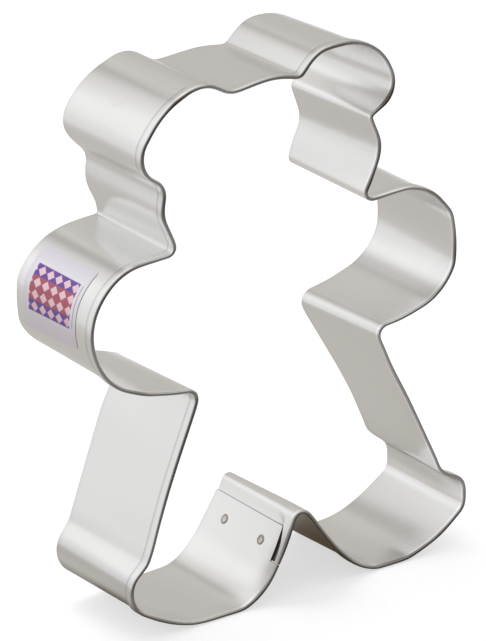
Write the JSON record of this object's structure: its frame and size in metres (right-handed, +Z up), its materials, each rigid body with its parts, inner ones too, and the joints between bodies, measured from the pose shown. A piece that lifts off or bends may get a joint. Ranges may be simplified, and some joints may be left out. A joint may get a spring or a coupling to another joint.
{
  "type": "cookie cutter",
  "caption": "Bear-shaped cookie cutter bent from one strip of tinned steel, with a hemmed grip edge, a spot-welded lap seam and a film label on one arm.",
  "frame": {"origin": "on the floor under the middle of the outline's width, halfway through the band's depth, with the bear standing on both feet", "axes": "+Z up to the bear's head, +X to the right as seen from the hemmed edge, +Y from the hemmed edge at the front to the cutting edge behind"},
  "size_m": [0.0778, 0.025, 0.1016],
  "materials": {
    "tinned_steel": "satin tinned steel sheet with soft, slightly wavy reflections",
    "weld_metal": "dull, slightly heat-browned weld dimple",
    "label_film": null
  },
  "bodies": {
    "root": {"cutter_band": "tinned_steel", "front_spot_weld": "weld_metal", "rear_spot_weld": "weld_metal", "label": "label_film"}
  },
  "joints": []
}
